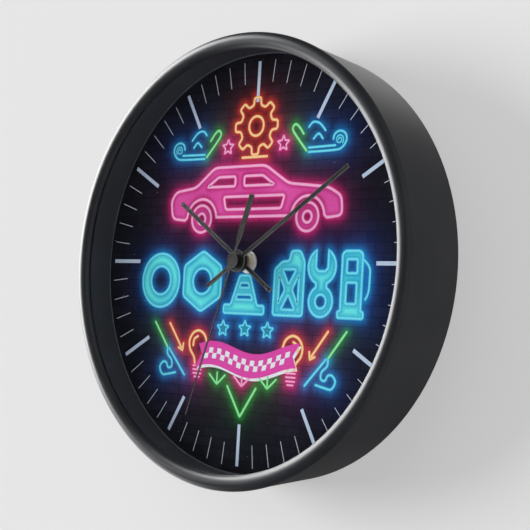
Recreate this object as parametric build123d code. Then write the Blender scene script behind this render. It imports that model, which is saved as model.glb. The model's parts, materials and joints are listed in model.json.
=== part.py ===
"""Round wall clock: framed printed dial, clear lens, three hands and a quartz movement.

Millimetres. +Z is up, +X is to the right seen from the front, and the dial faces -Y.
The origin is the centre of the back rim, in the plane that lies against the wall.
Angles of the hands are counted clockwise from twelve o'clock, seen from the front.
"""

from build123d import *
from math import cos, radians, sin
import os

# ---------------------------------------------------------------- driving dimensions
CLOCK_R = 127.0          # outside radius of the bezel, 10 in across
CLOCK_DEPTH = 48.0       # wall plane to the front of the bezel, 1.9 in
BACK_R = 123.1           # outside radius of the case at the wall
CASE_STEP = 0.3          # the case is this much smaller than the bezel at their joint

BEZEL_WIDTH = 9.0        # radial width of the rounded front rim
BEZEL_CROWN = 3.0        # height of the rounding
TONGUE_W = 0.9           # locating tongue behind the bezel
TONGUE_L = 3.15
GROOVE_GAP = 0.05

BORE_R = 122.6           # bore of the case in front of the ledge
STACK_GAP = 0.2          # the parts stacked in the bore are this much smaller in radius
LENS_T = 1.5
DIAL_DEPTH = 20.6        # front of the bezel to the printed face
DIAL_SEEN_R = 119.2      # radius of the printed face inside the spacer
PRINT_T = 0.2
BOARD_T = 3.0
RING_T = 1.6
RING_R = 112.0           # inside radius of the support ring behind the board
RIM_W = 3.0              # width of the back rim

MOVEMENT = 56.0          # side of the square movement
MOVEMENT_T = 16.0
WALL = 1.2               # wall of the movement's case
BATTERY_R = 7.2          # AA cell
BATTERY_L = 50.5

HOUR_ANGLE, HOUR_TIP, HOUR_TAIL = 303.8, 60.8, 29.0
MINUTE_ANGLE, MINUTE_TIP, MINUTE_TAIL = 56.8, 92.1, 26.9
SECOND_ANGLE, SECOND_TIP, SECOND_TAIL = 198.8, 93.0, 38.8
HAND_W = 2.5
HAND_T = 0.6
HAND_CHAMFER = 0.2
HUB_R = 6.3
SECOND_HUB_R = 4.2

RUN = 0.06               # radial clearance of a running fit

# ------------------------------------------------------------------- levels along Y
FRONT_Y = -CLOCK_DEPTH
SEAT_Y = FRONT_Y + BEZEL_CROWN            # back of the bezel's rim, front of the lens
LENS_BACK_Y = SEAT_Y + LENS_T
DIAL_Y = FRONT_Y + DIAL_DEPTH             # printed face
BOARD_FRONT_Y = DIAL_Y + PRINT_T
BOARD_BACK_Y = BOARD_FRONT_Y + BOARD_T
RING_BACK_Y = BOARD_BACK_Y + RING_T
WASHER_T = 1.0                            # rubber washer between board and movement
BASE_FRONT_Y = BOARD_BACK_Y + WASHER_T
BASE_BACK_Y = BASE_FRONT_Y + MOVEMENT_T
FLOOR_Y = BASE_FRONT_Y + WALL             # inside of the movement's front wall
COVER_FRONT_Y = BASE_BACK_Y - WALL

BUSH_R = 3.9
BUSH_END_Y = DIAL_Y - 3.7
DIAL_WASHER_T = 0.6
NUT_T = 2.2
NUT_FLATS = 10.0
HOUR_Y = DIAL_Y - 6.8                     # front face of each hand
MINUTE_Y = DIAL_Y - 10.1
SECOND_Y = DIAL_Y - 13.6

HOUR_PIPE_R = BUSH_R - 1.4
CANNON_R = 1.5
ARBOR_R = 0.6
PIPE_PROUD = 0.2                          # a pipe stands this far in front of its hand

# The train is in six layers, counted from the dial, and a plate divides them.
LAYER_T = 0.6
LAYER = {
    "hour": FLOOR_Y + 0.4,
    "motion": FLOOR_Y + 1.5,
    "centre": FLOOR_Y + 2.6,
    "third": FLOOR_Y + 3.7,
    "second": FLOOR_Y + 6.0,
    "intermediate": FLOOR_Y + 7.1,
}
PLATE_Y = FLOOR_Y + 4.8
PLATE_T = 0.8
PIVOT_Y = PLATE_Y + 0.2                   # rear pivots of the front train
PIVOT_BACK_Y = COVER_FRONT_Y + 0.4        # pivots in the cover
STATOR_Y = FLOOR_Y + 8.6
STATOR_T = 0.8
CIRCUIT_Y = FLOOR_Y + 11.2
CIRCUIT_T = 1.0

# Teeth and module of every mesh: (driver's teeth, follower's teeth, module).
THIRD_DISTANCE = 10.2
MOTION_DISTANCE = 9.6
SECOND_PINION, THIRD_TEETH = 10, 75
THIRD_PINION, CENTRE_TEETH = 10, 80
INTERMEDIATE_PINION, SECOND_TEETH = 10, 60
ROTOR_PINION, INTERMEDIATE_TEETH = 10, 50
CANNON_TEETH, MOTION_TEETH = 12, 36
MOTION_PINION, HOUR_TEETH = 10, 40
KNOB_TEETH = 12
THIRD_MODULE = 2 * THIRD_DISTANCE / (SECOND_PINION + THIRD_TEETH)
CENTRE_MODULE = 2 * THIRD_DISTANCE / (THIRD_PINION + CENTRE_TEETH)
SECOND_MODULE = 0.26
ROTOR_MODULE = 0.28
MOTION_MODULE = 2 * MOTION_DISTANCE / (CANNON_TEETH + MOTION_TEETH)
HOUR_MODULE = 2 * MOTION_DISTANCE / (MOTION_PINION + HOUR_TEETH)
SECOND_DISTANCE = SECOND_MODULE * (INTERMEDIATE_PINION + SECOND_TEETH) / 2
ROTOR_DISTANCE = ROTOR_MODULE * (ROTOR_PINION + INTERMEDIATE_TEETH) / 2
KNOB_DISTANCE = MOTION_MODULE * (KNOB_TEETH + MOTION_TEETH) / 2

# Directions of the axes, in degrees from +X towards +Z.
THIRD_DIR, MOTION_DIR, INTERMEDIATE_DIR, ROTOR_DIR, KNOB_DIR = 110.0, 180.0, 60.0, 30.0, 215.0


def step_from(start, distance, direction):
    """Point in the XZ plane at a distance and direction from another."""
    return (start[0] + distance * cos(radians(direction)),
            start[1] + distance * sin(radians(direction)))


CENTRE = (0.0, 0.0)
THIRD = step_from(CENTRE, THIRD_DISTANCE, THIRD_DIR)
MOTION = step_from(CENTRE, MOTION_DISTANCE, MOTION_DIR)
INTERMEDIATE = step_from(CENTRE, SECOND_DISTANCE, INTERMEDIATE_DIR)
ROTOR = step_from(INTERMEDIATE, ROTOR_DISTANCE, ROTOR_DIR)
KNOB = step_from(MOTION, KNOB_DISTANCE, KNOB_DIR)


# --------------------------------------------------------------------- basic shapes
def rod(radius, y0, y1, at=CENTRE):
    """Cylinder along Y between two levels."""
    return Pos(at[0], (y0 + y1) / 2, at[1]) * Rot(90, 0, 0) * Cylinder(radius, abs(y1 - y0))


def tube(outer, inner, y0, y1, at=CENTRE):
    """Pipe along Y between two levels."""
    return rod(outer, y0, y1, at) - rod(inner, y0 - 1, y1 + 1, at)


def block(x0, x1, y0, y1, z0, z1):
    """Box between two corners."""
    middle = Pos((x0 + x1) / 2, (y0 + y1) / 2, (z0 + z1) / 2)
    return middle * Box(x1 - x0, y1 - y0, z1 - z0)


def plate(sketch, y0, y1):
    """Flat outline, drawn with x = X and y = Z, thickened between two levels."""
    return extrude(Plane.XZ.offset(-y1) * sketch, amount=y1 - y0)


def turned(points):
    """Solid of revolution about Y from (radius, y) points."""
    return revolve(make_face(Polyline(*points, close=True)), Axis.Y)


def around(count, radius, start=0.0):
    """Evenly spaced points on a circle about the origin, with their directions."""
    for i in range(count):
        direction = start + 360 * i / count
        yield step_from(CENTRE, radius, direction), direction


# ----------------------------------------------------------------------------- gears
def gear_outline(teeth, module, first_tooth):
    """Outline of a thin wheel whose first tooth points at the given direction."""
    pitch_r = teeth * module / 2
    pitch_angle = 360 / teeth
    tip_r = pitch_r + 0.75 * module
    root_r = pitch_r - 1.05 * module
    half_root = 0.235 if teeth > 20 else 0.2
    points = []
    for i in range(teeth):
        middle = first_tooth + i * pitch_angle
        for radius, half in ((root_r, -half_root), (pitch_r, -0.2), (tip_r, -0.11),
                             (tip_r, 0.11), (pitch_r, 0.2), (root_r, half_root)):
            points.append(step_from(CENTRE, radius, middle + half * pitch_angle))
    return Polygon(*points, align=None)


def gear(teeth, module, first_tooth, y0, at=CENTRE, thickness=LAYER_T):
    """Wheel or pinion standing at a level."""
    return Pos(at[0], 0, at[1]) * plate(gear_outline(teeth, module, first_tooth), y0, y0 + thickness)


def meshing_tooth(driver_tooth, driver_teeth, direction, teeth):
    """First tooth of a follower that lies in mesh, in the given direction from its driver."""
    return direction + 180 + (direction - driver_tooth) * driver_teeth / teeth + 180 / teeth


def lightened(wheel, y0, at, rim_r, hub_r, holes=4):
    """Wheel with round holes between hub and rim."""
    middle_r = (rim_r + hub_r) / 2
    hole_r = (rim_r - hub_r) / 2 * 0.72
    for spot, _ in around(holes, middle_r, 45):
        wheel -= rod(hole_r, y0 - 1, y0 + LAYER_T + 1, (at[0] + spot[0], at[1] + spot[1]))
    return wheel


# --------------------------------------------------------------------- case and front
def front_bezel():
    """Rounded front rim with a locating tongue behind it."""
    middle_r = CLOCK_R - BEZEL_WIDTH / 2
    crown = EllipticalCenterArc((middle_r, SEAT_Y), BEZEL_WIDTH / 2, BEZEL_CROWN,
                                start_angle=180, arc_size=180)
    rim = revolve(make_face([crown, Line(crown @ 1, crown @ 0)]), Axis.Y)
    tongue_r = CLOCK_R - 1.85
    return rim + tube(tongue_r, tongue_r - TONGUE_W, SEAT_Y - 0.5, SEAT_Y + TONGUE_L)


def clear_lens():
    """Flat clear disc clamped behind the bezel."""
    return rod(BORE_R - STACK_GAP, SEAT_Y, LENS_BACK_Y)


def spacer_ring():
    """Flared ring that holds the lens off the dial, with a flange at each end."""
    outer = BORE_R - STACK_GAP
    lip = CLOCK_R - BEZEL_WIDTH + 0.35
    flange = 1.2
    skin = 1.5
    return turned([
        (lip, LENS_BACK_Y), (outer, LENS_BACK_Y), (outer, LENS_BACK_Y + flange),
        (lip + skin, LENS_BACK_Y + flange), (DIAL_SEEN_R + skin, DIAL_Y - flange),
        (outer, DIAL_Y - flange), (outer, DIAL_Y), (DIAL_SEEN_R, DIAL_Y)])


def dial_print():
    """Printed sheet on the board."""
    return tube(BORE_R - STACK_GAP, BUSH_R + 0.1, DIAL_Y, BOARD_FRONT_Y)


SCREW_CIRCLE_R = 118.0
BOARD_SCREW_R = 1.1
SCREW_GRIP = 2.4
HANGER_Y0, HANGER_T = -4.0, 1.2
HANGER_SCREW_X, HANGER_SCREW_Z = 14.0, 114.8
HANGER_SCREW_R = 1.4
STANDOFF_R = 3.4
HANGER_SPOTS = [(-HANGER_SCREW_X, HANGER_SCREW_Z), (HANGER_SCREW_X, HANGER_SCREW_Z)]


def board_screw_spots():
    """Where the four board screws stand."""
    return [spot for spot, _ in around(4, SCREW_CIRCLE_R, 45)]


def dial_board():
    """Hardboard disc that carries the print and the movement."""
    board = tube(BORE_R - STACK_GAP, BUSH_R + 0.1, BOARD_FRONT_Y, BOARD_BACK_Y)
    bottom = BOARD_BACK_Y - SCREW_GRIP
    for spot in board_screw_spots():
        board -= rod(BOARD_SCREW_R, bottom, BOARD_BACK_Y + 1, spot)
    for spot in HANGER_SPOTS:
        board -= rod(HANGER_SCREW_R, bottom, BOARD_BACK_Y + 1, spot)
    return board


def case_shell():
    """Open-backed tapered ring with a groove in front and a step behind the support ring."""
    groove_outer = CLOCK_R - 1.85 + GROOVE_GAP
    groove_inner = groove_outer - TONGUE_W - 2 * GROOVE_GAP
    groove_y = SEAT_Y + TONGUE_L + GROOVE_GAP
    inside_back = BACK_R - RIM_W
    return turned([
        (CLOCK_R - CASE_STEP, SEAT_Y), (BACK_R, 0), (inside_back, 0),
        (inside_back, RING_BACK_Y), (BORE_R, RING_BACK_Y), (BORE_R, SEAT_Y),
        (groove_inner, SEAT_Y), (groove_inner, groove_y), (groove_outer, groove_y),
        (groove_outer, SEAT_Y)])


def support_ring():
    """Flat ring between the board and the step of the case."""
    ring = tube(BORE_R - STACK_GAP, RING_R, BOARD_BACK_Y, RING_BACK_Y)
    for spot in board_screw_spots():
        ring -= rod(BOARD_SCREW_R, BOARD_BACK_Y - 1, RING_BACK_Y + 1, spot)
    for spot in HANGER_SPOTS:
        ring -= rod(HANGER_SCREW_R, BOARD_BACK_Y - 1, RING_BACK_Y + 1, spot)
    return ring


def pan_head(radius, height, y0, at, slot_depth=0.4):
    """Pan head standing towards +Y, with a cross recess."""
    head = rod(radius, y0, y0 + height, at)
    head = fillet(head.faces().sort_by(Axis.Y)[-1].edges(), height * 0.45)
    for half_x, half_z in ((radius * 0.6, radius * 0.14), (radius * 0.14, radius * 0.6)):
        head -= block(at[0] - half_x, at[0] + half_x, y0 + height - slot_depth, y0 + height + 1,
                      at[1] - half_z, at[1] + half_z)
    return head


def board_screws():
    """Four screws through the support ring into the board."""
    return [rod(BOARD_SCREW_R, BOARD_BACK_Y - SCREW_GRIP, RING_BACK_Y, spot)
            + pan_head(2.1, 1.4, RING_BACK_Y, spot)
            for spot in board_screw_spots()]


def hanger_standoffs():
    """Two sleeves between the support ring and the hanger."""
    return [tube(STANDOFF_R, HANGER_SCREW_R, RING_BACK_Y, HANGER_Y0, spot) for spot in HANGER_SPOTS]


HANG_Z = 102.8
HANG_R = 4.0
HANG_SLOT_W = 4.0
HANG_SLOT_TOP = 9.0


def hanger_plate():
    """Steel plate with a keyhole: the nail's head enters below and its shank seats above."""
    outline = Pos(0, HANG_Z + 5) * RectangleRounded(36, 22, 4)
    outline -= Pos(0, HANG_Z) * Circle(HANG_R)
    outline -= Pos(0, HANG_Z + HANG_SLOT_TOP / 2) * Rectangle(HANG_SLOT_W, HANG_SLOT_TOP)
    outline -= Pos(0, HANG_Z + HANG_SLOT_TOP) * Circle(HANG_SLOT_W / 2)
    for spot in HANGER_SPOTS:
        outline -= Pos(*spot) * Circle(HANGER_SCREW_R)
    return plate(outline, HANGER_Y0, HANGER_Y0 + HANGER_T)


def hanger_screws():
    """Two long screws through hanger, standoffs and support ring into the board."""
    top = HANGER_Y0 + HANGER_T
    return [rod(HANGER_SCREW_R, BOARD_BACK_Y - SCREW_GRIP, top, spot) + pan_head(2.7, 1.8, top, spot)
            for spot in HANGER_SPOTS]


# ------------------------------------------------------------- movement case and fixing
HALF = MOVEMENT / 2
INSIDE = HALF - WALL - 0.2
DIVIDER_Z = -10.6                     # the gear room is above, the battery bay below
BAY_TOP_Z = DIVIDER_Z - WALL
BAY_BOTTOM_Z = -HALF + WALL
BATTERY_Z = (BAY_TOP_Z + BAY_BOTTOM_Z) / 2
BATTERY_Y = FLOOR_Y + BATTERY_R + 0.3
BOSSES = [(-24.4, 24.4), (24.4, 24.4), (-24.4, -8.4), (24.4, -8.4)]
PILLARS = [(-18.0, 20.0), (18.0, 20.0), (18.0, -7.0), (-20.0, 8.5)]
COVER_SCREW_R = 0.8
COVER_SCREW_L = 5.0
STUD_R = 0.9
THIRD_PIVOT_R = 0.4
KNOB_PIVOT_R = 0.8


def movement_base():
    """Moulded box of the movement: gear room, battery bay, bosses, pillars and a stud."""
    base = plate(RectangleRounded(MOVEMENT, MOVEMENT, 3), BASE_FRONT_Y, BASE_BACK_Y)
    base -= block(-INSIDE, INSIDE, FLOOR_Y, 0, DIVIDER_Z, INSIDE)
    base -= block(-INSIDE, INSIDE, FLOOR_Y, 0, BAY_BOTTOM_Z, BAY_TOP_Z)
    for spot in BOSSES:
        base += rod(2.0, FLOOR_Y, COVER_FRONT_Y, spot)
        base -= rod(COVER_SCREW_R, COVER_FRONT_Y - COVER_SCREW_L, COVER_FRONT_Y + 1, spot)
    for spot in PILLARS:
        base += rod(1.4, FLOOR_Y, PLATE_Y, spot)
    base += rod(STUD_R, FLOOR_Y, LAYER["motion"] + LAYER_T + 0.2, MOTION)
    base -= rod(BUSH_R, BASE_FRONT_Y - 1, FLOOR_Y + 1)
    base -= rod(THIRD_PIVOT_R + RUN, FLOOR_Y - 0.6, FLOOR_Y + 1, THIRD)
    base -= rod(KNOB_PIVOT_R + RUN, FLOOR_Y - 0.6, FLOOR_Y + 1, KNOB)
    return base


def threaded_bush():
    """Brass bush through the dial: the nut clamps on it and the hour pipe turns in it."""
    bush = tube(BUSH_R, HOUR_PIPE_R + RUN, BUSH_END_Y, FLOOR_Y)
    return chamfer(bush.faces().sort_by(Axis.Y)[0].edges().sort_by(SortBy.LENGTH)[-1], 0.3)


def rubber_washer():
    """Soft washer between the board and the movement."""
    return tube(11.0, BUSH_R + 0.1, BOARD_BACK_Y, BASE_FRONT_Y)


def dial_washer():
    """Plain washer on the printed face."""
    return tube(6.4, BUSH_R + 0.1, DIAL_Y - DIAL_WASHER_T, DIAL_Y)


def hex_nut():
    """Thin hexagon nut with turned-down corners."""
    back = DIAL_Y - DIAL_WASHER_T
    nut = plate(RegularPolygon(NUT_FLATS / 2, 6, major_radius=False), back - NUT_T, back)
    corner_r = NUT_FLATS / 2 / cos(radians(30))
    nut &= turned([(0, back), (corner_r, back), (corner_r, back - NUT_T + 0.5),
                   (NUT_FLATS / 2, back - NUT_T), (0, back - NUT_T)])
    return nut - rod(BUSH_R, back - NUT_T - 1, back + 1)


def middle_plate():
    """Plate between the two halves of the train, with posts for stator and circuit."""
    outline = Pos(0, 8) * RectangleRounded(44, 36, 2)
    for spot, radius in ((CENTRE, ARBOR_R + RUN), (KNOB, 1.3), (INTERMEDIATE, 0.36), (ROTOR, 0.36),
                         (THIRD, THIRD_PIVOT_R + RUN)):
        outline -= Pos(*spot) * Circle(radius)
    shape = plate(outline, PLATE_Y, PLATE_Y + PLATE_T)
    for spot in STATOR_POSTS:
        shape += rod(1.0, PLATE_Y, STATOR_Y, spot)
    for spot in CIRCUIT_POSTS:
        shape += rod(1.2, PLATE_Y, CIRCUIT_Y, spot)
    return shape


def movement_cover():
    """Flat rear cover over the gear room."""
    gap = 0.1
    cover = block(-INSIDE + gap, INSIDE - gap, COVER_FRONT_Y, BASE_BACK_Y, DIVIDER_Z + gap, INSIDE - gap)
    for spot in BOSSES:
        cover -= rod(COVER_SCREW_R, COVER_FRONT_Y - 1, BASE_BACK_Y + 1, spot)
    for spot, radius in ((CENTRE, ARBOR_R + RUN), (INTERMEDIATE, 0.36), (ROTOR, 0.36)):
        cover -= rod(radius, COVER_FRONT_Y - 1, PIVOT_BACK_Y + 0.2, spot)
    return cover - rod(STEM_R + RUN, COVER_FRONT_Y - 1, BASE_BACK_Y + 1, KNOB)


def cover_screws():
    """Four screws that close the movement."""
    return [rod(COVER_SCREW_R, COVER_FRONT_Y - COVER_SCREW_L, BASE_BACK_Y, spot)
            + pan_head(1.6, 0.8, BASE_BACK_Y, spot, 0.3) for spot in BOSSES]


# ---------------------------------------------------------------------------- hands
MINUTE_COLLET_R, SECOND_COLLET_R = 2.4, 1.2


def bar_hand(tip, tail, angle, front_y, bore, hub_r):
    """Straight flat hand with square ends, a round hub and bevelled front edges."""
    sketch = Pos(0, (tip - tail) / 2) * Rectangle(HAND_W, tip + tail)
    sketch += Circle(hub_r)
    hand = plate(Rot(0, 0, -angle) * sketch, front_y, front_y + HAND_T)
    hand = chamfer(hand.faces().sort_by(Axis.Y)[0].edges(), HAND_CHAMFER)
    return hand - rod(bore, front_y - 1, front_y + HAND_T + 1)


def hour_hand():
    return bar_hand(HOUR_TIP, HOUR_TAIL, HOUR_ANGLE, HOUR_Y, HOUR_PIPE_R, HUB_R - 0.5)


def minute_hand():
    hand = bar_hand(MINUTE_TIP, MINUTE_TAIL, MINUTE_ANGLE, MINUTE_Y, CANNON_R, HUB_R)
    return hand + tube(HUB_R - 0.4, MINUTE_COLLET_R, MINUTE_Y + HAND_T, HOUR_Y - 2 * PIPE_PROUD)


NECK_W, PADDLE_W = 1.6, 3.7
NEEDLE_BASE_W, NEEDLE_TIP_W = 1.3, 0.8
NECK_END, PADDLE_START = 9.0, 14.0


def second_hand():
    """Thin needle with a wide straight counterweight on a narrow neck."""
    needle = make_face(Polyline(
        (-NEEDLE_BASE_W / 2, 0), (-NEEDLE_TIP_W / 2, SECOND_TIP),
        (NEEDLE_TIP_W / 2, SECOND_TIP), (NEEDLE_BASE_W / 2, 0), close=True))
    paddle = make_face(Polyline(
        (-NECK_W / 2, 0), (-NECK_W / 2, -NECK_END), (-PADDLE_W / 2, -PADDLE_START),
        (-PADDLE_W / 2, -SECOND_TAIL), (PADDLE_W / 2, -SECOND_TAIL), (PADDLE_W / 2, -PADDLE_START),
        (NECK_W / 2, -NECK_END), (NECK_W / 2, 0), close=True))
    sketch = needle + paddle + Circle(SECOND_HUB_R)
    hand = plate(Rot(0, 0, -SECOND_ANGLE) * sketch, SECOND_Y, SECOND_Y + HAND_T)
    hand = chamfer(hand.faces().sort_by(Axis.Y)[0].edges(), HAND_CHAMFER * 0.75)
    hand -= rod(ARBOR_R, SECOND_Y + HAND_T / 2, SECOND_Y + HAND_T + 1)
    return hand + tube(SECOND_HUB_R - 0.4, SECOND_COLLET_R, SECOND_Y + HAND_T, MINUTE_Y - 2 * PIPE_PROUD)


def collet(outer, inner, hand_back_y, length):
    """Brass collar riveted behind a hand."""
    return tube(outer, inner, hand_back_y, hand_back_y + length)


# ---------------------------------------------------------------------- going train
MOTION_TOOTH = 0.0


def hour_wheel():
    """Hour wheel on its pipe."""
    tooth = meshing_tooth(0.0, MOTION_PINION, MOTION_DIR + 180, HOUR_TEETH)
    wheel = gear(HOUR_TEETH, HOUR_MODULE, tooth, LAYER["hour"])
    wheel = lightened(wheel, LAYER["hour"], CENTRE, 6.6, 3.0)
    pipe_end = HOUR_Y - PIPE_PROUD
    wheel += rod(HOUR_PIPE_R, pipe_end, LAYER["hour"] + LAYER_T)
    return wheel - rod(CANNON_R + RUN, pipe_end - 1, LAYER["hour"] + LAYER_T + 1)


def cannon_pinion():
    """Cannon pinion: the minute hand's pipe with the first pinion of the motion work."""
    tooth = meshing_tooth(MOTION_TOOTH, MOTION_TEETH, MOTION_DIR + 180, CANNON_TEETH)
    pinion = gear(CANNON_TEETH, MOTION_MODULE, tooth, LAYER["motion"])
    pipe_end = MINUTE_Y - PIPE_PROUD
    pinion += rod(CANNON_R, pipe_end, LAYER["centre"] + LAYER_T + 0.2)
    return pinion - rod(ARBOR_R + RUN, pipe_end - 1, LAYER["third"])


def motion_wheel():
    """Minute wheel of the motion work with its pinion, on a stud of the base."""
    wheel = gear(MOTION_TEETH, MOTION_MODULE, MOTION_TOOTH, LAYER["motion"], MOTION)
    wheel = lightened(wheel, LAYER["motion"], MOTION, 6.2, 2.2)
    wheel += gear(MOTION_PINION, HOUR_MODULE, 0.0, LAYER["hour"], MOTION,
                  LAYER["motion"] - LAYER["hour"])
    return wheel - rod(STUD_R + RUN, FLOOR_Y, PLATE_Y, MOTION)


def centre_wheel():
    """Centre wheel with a bushed bore, turning on the cannon pinion through its slip fit."""
    tooth = meshing_tooth(0.0, THIRD_PINION, THIRD_DIR + 180, CENTRE_TEETH)
    wheel = gear(CENTRE_TEETH, CENTRE_MODULE, tooth, LAYER["centre"])
    wheel = lightened(wheel, LAYER["centre"], CENTRE, 8.2, 2.6, 5)
    return wheel - rod(CANNON_R + RUN / 2, FLOOR_Y, PLATE_Y)


def third_wheel():
    """Third wheel and pinion on an arbor."""
    tooth = meshing_tooth(0.0, SECOND_PINION, THIRD_DIR, THIRD_TEETH)
    wheel = gear(THIRD_TEETH, THIRD_MODULE, tooth, LAYER["third"], THIRD)
    wheel = lightened(wheel, LAYER["third"], THIRD, 8.1, 2.0, 5)
    wheel += gear(THIRD_PINION, CENTRE_MODULE, 0.0, LAYER["centre"] - 0.1, THIRD,
                  LAYER["third"] - LAYER["centre"] + 0.1)
    wheel += rod(0.8, FLOOR_Y + 0.1, LAYER["centre"], THIRD)
    return wheel + rod(THIRD_PIVOT_R, FLOOR_Y - 0.4, PIVOT_Y, THIRD)


def second_wheel():
    """Second wheel and pinion on the long arbor that carries the second hand."""
    wheel = gear(SECOND_TEETH, SECOND_MODULE, INTERMEDIATE_DIR, LAYER["second"])
    wheel = lightened(wheel, LAYER["second"], CENTRE, 7.0, 2.0)
    wheel += gear(SECOND_PINION, THIRD_MODULE, 0.0, LAYER["third"] - 0.1, CENTRE, LAYER_T + 0.3)
    wheel += rod(1.2, LAYER["second"] - 0.1, LAYER["intermediate"] + 1.0)
    return wheel + rod(ARBOR_R, SECOND_Y + HAND_T / 2, PIVOT_BACK_Y)


def intermediate_wheel():
    """Wheel between the rotor and the second wheel, with its pinion and arbor."""
    pinion_tooth = meshing_tooth(INTERMEDIATE_DIR, SECOND_TEETH, INTERMEDIATE_DIR, INTERMEDIATE_PINION)
    wheel = gear(INTERMEDIATE_TEETH, ROTOR_MODULE, ROTOR_DIR, LAYER["intermediate"], INTERMEDIATE)
    wheel = lightened(wheel, LAYER["intermediate"], INTERMEDIATE, 6.2, 2.0)
    wheel += gear(INTERMEDIATE_PINION, SECOND_MODULE, pinion_tooth, LAYER["second"] - 0.1, INTERMEDIATE,
                  LAYER["intermediate"] - LAYER["second"] + 0.1)
    return wheel + rod(0.3, PIVOT_Y, PIVOT_BACK_Y, INTERMEDIATE)


MAGNET_R = 2.6


def rotor_pinion():
    """Rotor shaft with its pinion."""
    tooth = meshing_tooth(ROTOR_DIR, INTERMEDIATE_TEETH, ROTOR_DIR, ROTOR_PINION)
    pinion = gear(ROTOR_PINION, ROTOR_MODULE, tooth, LAYER["intermediate"] - 0.1, ROTOR, LAYER_T + 0.2)
    return pinion + rod(0.3, PIVOT_Y, PIVOT_BACK_Y, ROTOR)


def rotor_magnet():
    """Permanent magnet on the rotor shaft."""
    return tube(MAGNET_R, 0.3, STATOR_Y - 0.5, STATOR_Y + STATOR_T + 0.6, ROTOR)


STATOR_X0, STATOR_X1 = 5.7, 21.7
STATOR_Z0, STATOR_Z1 = ROTOR[1] - 3.9, ROTOR[1] + 3.9
CORE_Z = 21.0
CORE_W = 3.0
STATOR_POSTS = [(STATOR_X0 + 1.5, 17.8), (STATOR_X1 - 1.5, 17.8)]
CIRCUIT_POSTS = [(-18.0, 22.0), (-9.0, 13.5)]


def stator():
    """Stator: pole plate around the rotor with two legs that lead to the coil core."""
    shape = block(STATOR_X0, STATOR_X1, STATOR_Y, STATOR_Y + STATOR_T, STATOR_Z0, STATOR_Z1)
    for x in (STATOR_X0, STATOR_X1 - 3):
        shape += block(x, x + 3, STATOR_Y, STATOR_Y + STATOR_T, STATOR_Z1 - 1, CORE_Z + CORE_W / 2)
    return shape - rod(MAGNET_R + 0.6, STATOR_Y - 1, STATOR_Y + STATOR_T + 1, ROTOR)


CORE_Y = STATOR_Y + STATOR_T
CORE_T = 0.8
BOBBIN_R = 1.9
COIL_R = 2.5
FLANGE_R = 2.7
BOBBIN_X0, BOBBIN_X1 = STATOR_X0 + 3.2, STATOR_X1 - 3.2
FLANGE_T = 0.5


def along_x(radius, x0, x1):
    """Cylinder along X on the coil's axis."""
    return Pos((x0 + x1) / 2, CORE_Y + CORE_T / 2, CORE_Z) * Rot(0, 90, 0) * Cylinder(radius, x1 - x0)


def coil_core():
    """Soft iron bar through the coil, lying on both stator legs."""
    return block(STATOR_X0, STATOR_X1, CORE_Y, CORE_Y + CORE_T, CORE_Z - CORE_W / 2, CORE_Z + CORE_W / 2)


def coil_bobbin():
    """Bobbin with two flanges around the core."""
    bobbin = along_x(BOBBIN_R, BOBBIN_X0, BOBBIN_X1)
    bobbin += along_x(FLANGE_R, BOBBIN_X0, BOBBIN_X0 + FLANGE_T)
    bobbin += along_x(FLANGE_R, BOBBIN_X1 - FLANGE_T, BOBBIN_X1)
    return bobbin - coil_core()


def coil_winding():
    """Copper winding as one ring between the bobbin's flanges."""
    x0, x1 = BOBBIN_X0 + FLANGE_T, BOBBIN_X1 - FLANGE_T
    return along_x(COIL_R, x0, x1) - along_x(BOBBIN_R, x0 - 1, x1 + 1)


CIRCUIT_X0, CIRCUIT_X1, CIRCUIT_Z0, CIRCUIT_Z1 = -21.5, -5.0, 11.0, 24.5


def circuit_board():
    """Circuit board on two posts."""
    return block(CIRCUIT_X0, CIRCUIT_X1, CIRCUIT_Y, CIRCUIT_Y + CIRCUIT_T, CIRCUIT_Z0, CIRCUIT_Z1)


def quartz_crystal():
    """Watch crystal can lying in front of the circuit board."""
    can_r = 1.0
    return (Pos(-12.5, CIRCUIT_Y - can_r, 19.0) * Rot(0, 90, 0) * Cylinder(can_r, 6.0)
            & block(-30, 0, CIRCUIT_Y - 3, CIRCUIT_Y, 0, 30))


def circuit_chip():
    """Low resin dome over the chip."""
    return turned([(0, CIRCUIT_Y + CIRCUIT_T), (2.6, CIRCUIT_Y + CIRCUIT_T),
                   (2.2, CIRCUIT_Y + CIRCUIT_T + 0.45), (1.2, CIRCUIT_Y + CIRCUIT_T + 0.7),
                   (0, CIRCUIT_Y + CIRCUIT_T + 0.75)]).moved(Location((-13.0, 0, 16.5)))


STEM_R = 1.2
KNOB_R = 5.0
KNOB_Y0, KNOB_Y1 = BASE_BACK_Y + 0.2, BASE_BACK_Y + 2.4


def setting_knob():
    """Knurled knob, stem and pinion that turn the motion work."""
    tooth = meshing_tooth(MOTION_TOOTH, MOTION_TEETH, KNOB_DIR, KNOB_TEETH)
    grips = Circle(KNOB_R - 0.5)
    for spot, _ in around(20, KNOB_R - 0.5):
        grips += Pos(*spot) * Circle(0.5)
    knob = Pos(KNOB[0], 0, KNOB[1]) * plate(grips, KNOB_Y0, KNOB_Y1)
    knob += gear(KNOB_TEETH, MOTION_MODULE, tooth, LAYER["motion"], KNOB)
    knob += rod(STEM_R, LAYER["motion"], KNOB_Y0 + 0.5, KNOB)
    return knob + rod(KNOB_PIVOT_R, FLOOR_Y - 0.4, LAYER["motion"] + 0.1, KNOB)


# ------------------------------------------------------------------------- battery
def lying(radius, x0, x1):
    """Cylinder along X on the battery's axis."""
    return Pos((x0 + x1) / 2, BATTERY_Y, BATTERY_Z) * Rot(0, 90, 0) * Cylinder(radius, x1 - x0)


END_X = BATTERY_L / 2


def battery_can():
    """Sleeved can of the cell."""
    can = lying(BATTERY_R, -END_X + 0.3, END_X - 1.3)
    return fillet(can.edges().filter_by(GeomType.CIRCLE), 0.5)


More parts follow.
